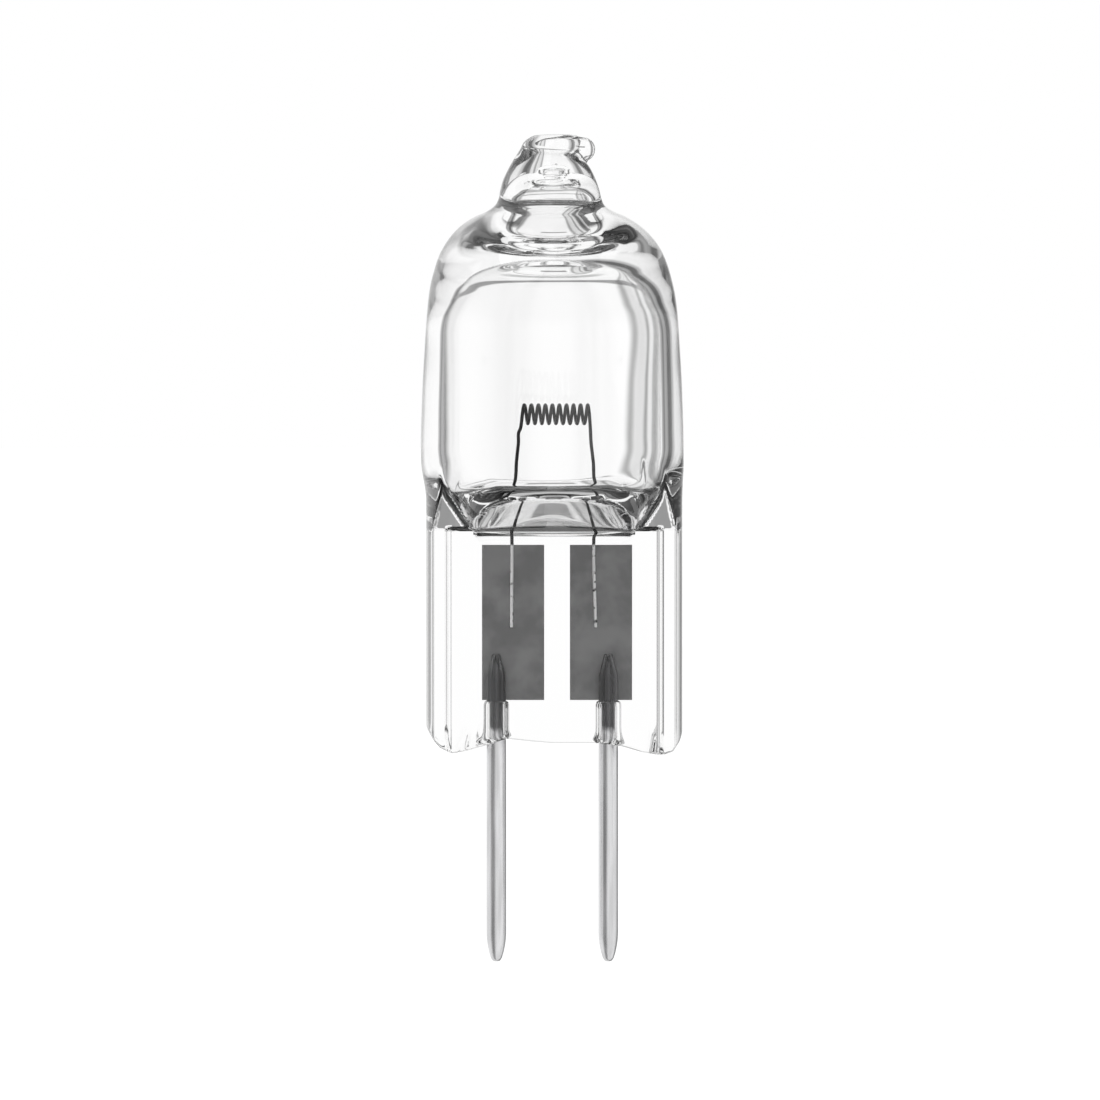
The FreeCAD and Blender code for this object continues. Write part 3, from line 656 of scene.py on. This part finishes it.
    def make_void(self, bm, middle, half_sizes, tilt):
        """A small void in the melted quartz of the tip."""
        known = set(bm.faces)
        shape = (Matrix.Translation(middle) @ Matrix.Rotation(math.radians(tilt), 4, "Y")
                 @ Matrix.Diagonal((*half_sizes, 1.0)))
        bmesh.ops.create_icosphere(bm, subdivisions=4, radius=1.0, matrix=shape)
        self.turn_inward(bm, known)

    def turn_inward(self, bm, known):
        """Turn the faces made since known was taken towards the hollow that they close."""
        made = [face for face in bm.faces if face not in known]
        bmesh.ops.recalc_face_normals(bm, faces=made)
        bmesh.ops.reverse_faces(bm, faces=made)

    def execute(self, context):
        self.sizes = context.scene.capsule_sizes
        bm = bmesh.new()
        rims = self.make_outside(bm, self.sizes.quartz_steps)
        for across in PINS_ACROSS.values():
            rims += self.make_channel(bm, across)
        self.make_bottom(bm, rims)
        bmesh.ops.recalc_face_normals(bm, faces=bm.faces)
        self.make_cavity(bm, self.sizes.quartz_steps * 3 // 4)
        for middle, half_sizes, tilt in TIP_VOIDS:
            self.make_void(bm, Vector(middle), half_sizes, tilt)
        material = quartz_material(context.scene.capsule_finish)
        finish_piece(bm, "quartz", material, "quartz_capsule")
        return {"FINISHED"}


class CAPSULE_OT_filament(bpy.types.Operator):
    """Wind the filament's coil and lead its two legs down to the foils"""
    bl_idname = "capsule.filament"
    bl_label = "Filament"

    def lead_leg(self, bm, rim, way):
        """Draw the wire on from an open rim along a leg's way."""
        points = curve_through(way, LEG_STEP)
        axis = Vector((0, 0, -1))
        for index in range(1, len(points)):
            ahead = points[min(index + 1, len(points) - 1)]
            heading = (ahead - points[index - 1]).normalized()
            made = bmesh.ops.extrude_edge_only(bm, edges=rim)["geom"]
            ring = [item for item in made if isinstance(item, bmesh.types.BMVert)]
            rim = [item for item in made if isinstance(item, bmesh.types.BMEdge)]
            bmesh.ops.translate(bm, verts=ring, vec=points[index] - points[index - 1])
            bend = axis.rotation_difference(heading).to_matrix()
            bmesh.ops.rotate(bm, verts=ring, cent=points[index], matrix=bend)
            axis = heading
        bmesh.ops.contextual_create(bm, geom=rim)

    def execute(self, context):
        sizes = context.scene.capsule_sizes
        wire = sizes.wire_radius / MM
        start, end = Vector(LEFT_LEG[0]), Vector(RIGHT_LEG[0])
        steps = int(sizes.coil_turns * sizes.coil_steps)
        bm = bmesh.new()
        section = bmesh.ops.create_circle(bm, cap_ends=False, segments=14, radius=wire,
                                          matrix=Matrix.Translation(start))["verts"]
        first_rim = list(dict.fromkeys(edge for vertex in section for edge in vertex.link_edges))
        spun = bmesh.ops.spin(
            bm, geom=section + first_rim, cent=Vector((start.x, 0, start.z)), axis=(-1, 0, 0),
            dvec=Vector(((end.x - start.x) / steps, 0, 0)),
            angle=math.tau * sizes.coil_turns, steps=steps, use_merge=False,
            use_duplicate=False)
        last_rim = [item for item in spun["geom_last"] if isinstance(item, bmesh.types.BMEdge)]
        self.lead_leg(bm, first_rim, LEFT_LEG)
        self.lead_leg(bm, last_rim, RIGHT_LEG)
        bmesh.ops.recalc_face_normals(bm, faces=bm.faces)
        material = tungsten_material(context.scene.capsule_finish)
        finish_piece(bm, "tungsten_filament", material, "filament")
        return {"FINISHED"}


class CAPSULE_OT_pins(bpy.types.Operator):
    """Turn the two round pins, with a rounded point below and a taper in the seal"""
    bl_idname = "capsule.pins"
    bl_label = "Pins"

    def execute(self, context):
        radius = context.scene.capsule_sizes.pin_radius / MM
        outline = [
            *PIN_POINT, *((radius, level) for level in PIN_BARE),
            *((radius - PIN_DRAW, level) for level in PIN_SEALED), *PIN_END,
        ]
        material = pin_material(context.scene.capsule_finish)
        for name, across in PINS_ACROSS.items():
            bm = bmesh.new()
            line = [bm.verts.new((across + x, 0, z)) for x, z in outline]
            edges = [bm.edges.new(pair) for pair in zip(line, line[1:])]
            bmesh.ops.spin(bm, geom=line + edges, cent=(across, 0, 0), axis=(0, 0, 1),
                           dvec=(0, 0, 0), angle=math.tau, steps=56, use_merge=True,
                           use_duplicate=False)
            bmesh.ops.remove_doubles(bm, verts=bm.verts, dist=0.0005)
            bmesh.ops.recalc_face_normals(bm, faces=bm.faces)
            finish_piece(bm, f"{name}_lead_pin", material, f"{name}_pin")
        return {"FINISHED"}


class CAPSULE_OT_foils(bpy.types.Operator):
    """Give the two foils their rolled finish"""
    bl_idname = "capsule.foils"
    bl_label = "Foils"

    def execute(self, context):
        material = foil_material(context.scene.capsule_finish)
        for name in ("left_foil", "right_foil"):
            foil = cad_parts[name]
            foil.data.materials.clear()
            foil.data.materials.append(material)
        return {"FINISHED"}


class CAPSULE_OT_stage(bpy.types.Operator):
    """Set the floor, the soft light, the white surroundings and the camera"""
    bl_idname = "capsule.stage"
    bl_label = "Stage"

    def make_floor(self, stage):
        """Pale round floor that shows a shadow and runs into the white behind it."""
        bm = bmesh.new()
        bmesh.ops.create_circle(bm, cap_ends=True, segments=96, radius=stage.floor_radius,
                                matrix=Matrix.Translation((0, 0, -stage.floor_drop)))
        mesh = bpy.data.meshes.new("floor")
        bm.to_mesh(mesh)
        bm.free()
        floor = bpy.data.objects.new("floor", mesh)
        bpy.context.scene.collection.objects.link(floor)
        material = bpy.data.materials.new("pale_floor")
        material.use_nodes = True
        nodes, links = material.node_tree.nodes, material.node_tree.links
        nodes.clear()
        output = nodes.new("ShaderNodeOutputMaterial")
        diffuse = nodes.new("ShaderNodeBsdfDiffuse")
        diffuse.inputs["Color"].default_value = (0.82, 0.82, 0.82, 1)
        glow = nodes.new("ShaderNodeEmission")
        path = nodes.new("ShaderNodeLightPath")
        links.new(math_node(nodes, links, "MULTIPLY", path.outputs["Is Camera Ray"], 0.25),
                  glow.inputs["Strength"])
        total = nodes.new("ShaderNodeAddShader")
        links.new(diffuse.outputs[0], total.inputs[0])
        links.new(glow.outputs[0], total.inputs[1])
        links.new(total.outputs[0], output.inputs["Surface"])
        mesh.materials.append(material)
        floor.visible_transmission = False
        floor.visible_glossy = False

    def strips(self, nodes, links, quarter, stops):
        """Soft upright strips of shade, the same in each quarter of the way round."""
        ramp = nodes.new("ShaderNodeValToRGB")
        ramp.color_ramp.interpolation = "EASE"
        links.new(quarter, ramp.inputs["Fac"])
        elements = ramp.color_ramp.elements
        while len(elements) < len(stops):
            elements.new(0.5)
        for element, (degrees, shade) in zip(elements, stops):
            element.position = degrees / 90
            element.color = (shade, shade, shade, 1)
        return ramp.outputs["Color"]

    def band(self, nodes, links, value, stops, shade):
        """1, except for a darker band between the stops."""
        return math_node(nodes, links, "MAXIMUM",
                         map_range(nodes, links, value, stops[0], stops[1], 1.0, shade),
                         map_range(nodes, links, value, stops[2], stops[3], shade, 1.0))

    def make_world(self, stage):
        """Plain white surroundings to the camera. The quartz refracts them with darker strips and
        bands, darker again where it reflects them inside, as round a glass lit from behind, and
        the metal reflects one broad change from light to dark."""
        world = bpy.data.worlds.new("white_room")
        bpy.context.scene.world = world
        world.use_nodes = True
        world.cycles.sampling_method = "NONE"
        nodes, links = world.node_tree.nodes, world.node_tree.links
        nodes.clear()
        output = nodes.new("ShaderNodeOutputWorld")
        background = nodes.new("ShaderNodeBackground")
        background.inputs["Color"].default_value = (1, 1, 1, 1)
        links.new(background.outputs[0], output.inputs["Surface"])
        coordinates = nodes.new("ShaderNodeTexCoord")
        split = nodes.new("ShaderNodeSeparateXYZ")
        links.new(coordinates.outputs["Generated"], split.inputs["Vector"])
        x, y, z = (split.outputs[axis] for axis in "XYZ")
        path = nodes.new("ShaderNodeLightPath")

        angle = math_node(nodes, links, "ARCTAN2", x, y)
        quarters = math_node(nodes, links, "MULTIPLY", angle, 2 / math.pi)
        quarter = math_node(nodes, links, "FLOORED_MODULO", quarters, 1.0)
        straight = self.strips(nodes, links, quarter, THROUGH_STRIPS)
        bounced = self.strips(nodes, links, quarter, BOUNCED_STRIPS)
        for stops, shade in HIGH_BANDS:
            high = self.band(nodes, links, z, stops, shade)
            straight = math_node(nodes, links, "MULTIPLY", straight, high)
        starts, full, ends, gone = (degrees / 90 for degrees in LOW_BAND_SIDES)
        aside = math_node(nodes, links, "MINIMUM",
                          map_range(nodes, links, quarter, starts, full),
                          map_range(nodes, links, quarter, ends, gone, 1.0, 0.0))
        low = math_node(nodes, links, "MAXIMUM", self.band(nodes, links, z, *LOW_BAND), aside)
        straight = math_node(nodes, links, "MULTIPLY", straight, low)
        below = map_range(nodes, links, z, -0.16, -0.50, 1.0, 0.14)
        bounced = math_node(nodes, links, "MULTIPLY", bounced, below)
        often = map_range(nodes, links, path.outputs["Glossy Depth"], 2.5, 5.0, 1.0, 0.30)
        bounced = math_node(nodes, links, "MULTIPLY", bounced, often)
        is_bounced = math_node(nodes, links, "GREATER_THAN", path.outputs["Glossy Depth"], 0.5)
        through = pick(nodes, links, is_bounced, straight, bounced)

        turned = math_node(nodes, links, "SUBTRACT", angle, DARK_SIDE)
        wave = math_node(nodes, links, "COSINE",
                         math_node(nodes, links, "MULTIPLY", turned, 2.0))
        metal = map_range(nodes, links, wave, 0.30, 0.95, 1.0, 0.28)

        strength = pick(nodes, links, path.outputs["Is Glossy Ray"], stage.world_light, metal)
        strength = pick(nodes, links, path.outputs["Is Transmission Ray"], strength, through)
        strength = math_node(nodes, links, "MAXIMUM", strength, path.outputs["Is Camera Ray"])
        links.new(strength, background.inputs["Strength"])

    def make_lamps(self):
        """Two large soft lamps, far away."""
        for name, place, spread, power in (
            ("key_lamp", (-0.35, -0.55, 0.75), 50.0, 0.75),
            ("fill_lamp", (0.60, -0.25, 0.40), 60.0, 0.30),
        ):
            light = bpy.data.lights.new(name, "SUN")
            light.angle = math.radians(spread)
            light.energy = power
            lamp = bpy.data.objects.new(name, light)
            lamp.location = place
            lamp.rotation_euler = (-Vector(place)).to_track_quat("-Z", "Y").to_euler()
            lamp.visible_camera = False
            lamp.visible_transmission = False
            bpy.context.scene.collection.objects.link(lamp)

    def make_camera(self, stage):
        """Camera level with the bulb, in front of its flat seal."""
        data = bpy.data.cameras.new("camera")
        data.sensor_width = 36
        data.lens = data.sensor_width * stage.camera_distance / stage.view_width
        data.clip_start, data.clip_end = 0.01, 20
        camera = bpy.data.objects.new("camera", data)
        aim = Vector(CAMERA_AIM) * MM
        back = Vector((0, -math.cos(stage.camera_rise), math.sin(stage.camera_rise)))
        camera.location = aim + back * stage.camera_distance
        camera.rotation_euler = (-back).to_track_quat("-Z", "Y").to_euler()
        bpy.context.scene.collection.objects.link(camera)
        bpy.context.scene.camera = camera

    def execute(self, context):
        stage = context.scene.capsule_stage
        self.make_floor(stage)
        self.make_world(stage)
        self.make_lamps()
        self.make_camera(stage)
        scene = context.scene
        scene.view_settings.view_transform = "Standard"
        scene.cycles.max_bounces = 20
        scene.cycles.transmission_bounces = 20
        scene.cycles.glossy_bounces = 12
        return {"FINISHED"}


class CAPSULE_PT_panel(bpy.types.Panel):
    """Buttons that make the pieces"""
    bl_idname = "CAPSULE_PT_panel"
    bl_label = "Capsule Bulb"
    bl_space_type = "VIEW_3D"
    bl_region_type = "UI"
    bl_category = "Capsule"

    def draw(self, context):
        column = self.layout.column()
        for name in PIECES:
            column.operator(f"capsule.{name}")
        for group in ("capsule_sizes", "capsule_finish", "capsule_stage"):
            settings = getattr(context.scene, group)
            box = self.layout.box()
            for key in settings.__annotations__:
                box.prop(settings, key)


PIECES = ("quartz", "filament", "foils", "pins", "stage")
CLASSES = (
    CapsuleSizes, CapsuleFinish, CapsuleStage, CAPSULE_OT_quartz, CAPSULE_OT_filament,
    CAPSULE_OT_foils, CAPSULE_OT_pins, CAPSULE_OT_stage, CAPSULE_PT_panel,
)


def register():
    for item in CLASSES:
        bpy.utils.register_class(item)
    bpy.types.Scene.capsule_sizes = PointerProperty(type=CapsuleSizes)
    bpy.types.Scene.capsule_finish = PointerProperty(type=CapsuleFinish)
    bpy.types.Scene.capsule_stage = PointerProperty(type=CapsuleStage)


def unregister():
    for name in ("capsule_sizes", "capsule_finish", "capsule_stage"):
        delattr(bpy.types.Scene, name)
    for item in reversed(CLASSES):
        bpy.utils.unregister_class(item)


def main():
    register()
    for name in PIECES:
        getattr(bpy.ops.capsule, name)()


if __name__ == "__main__":
    main()
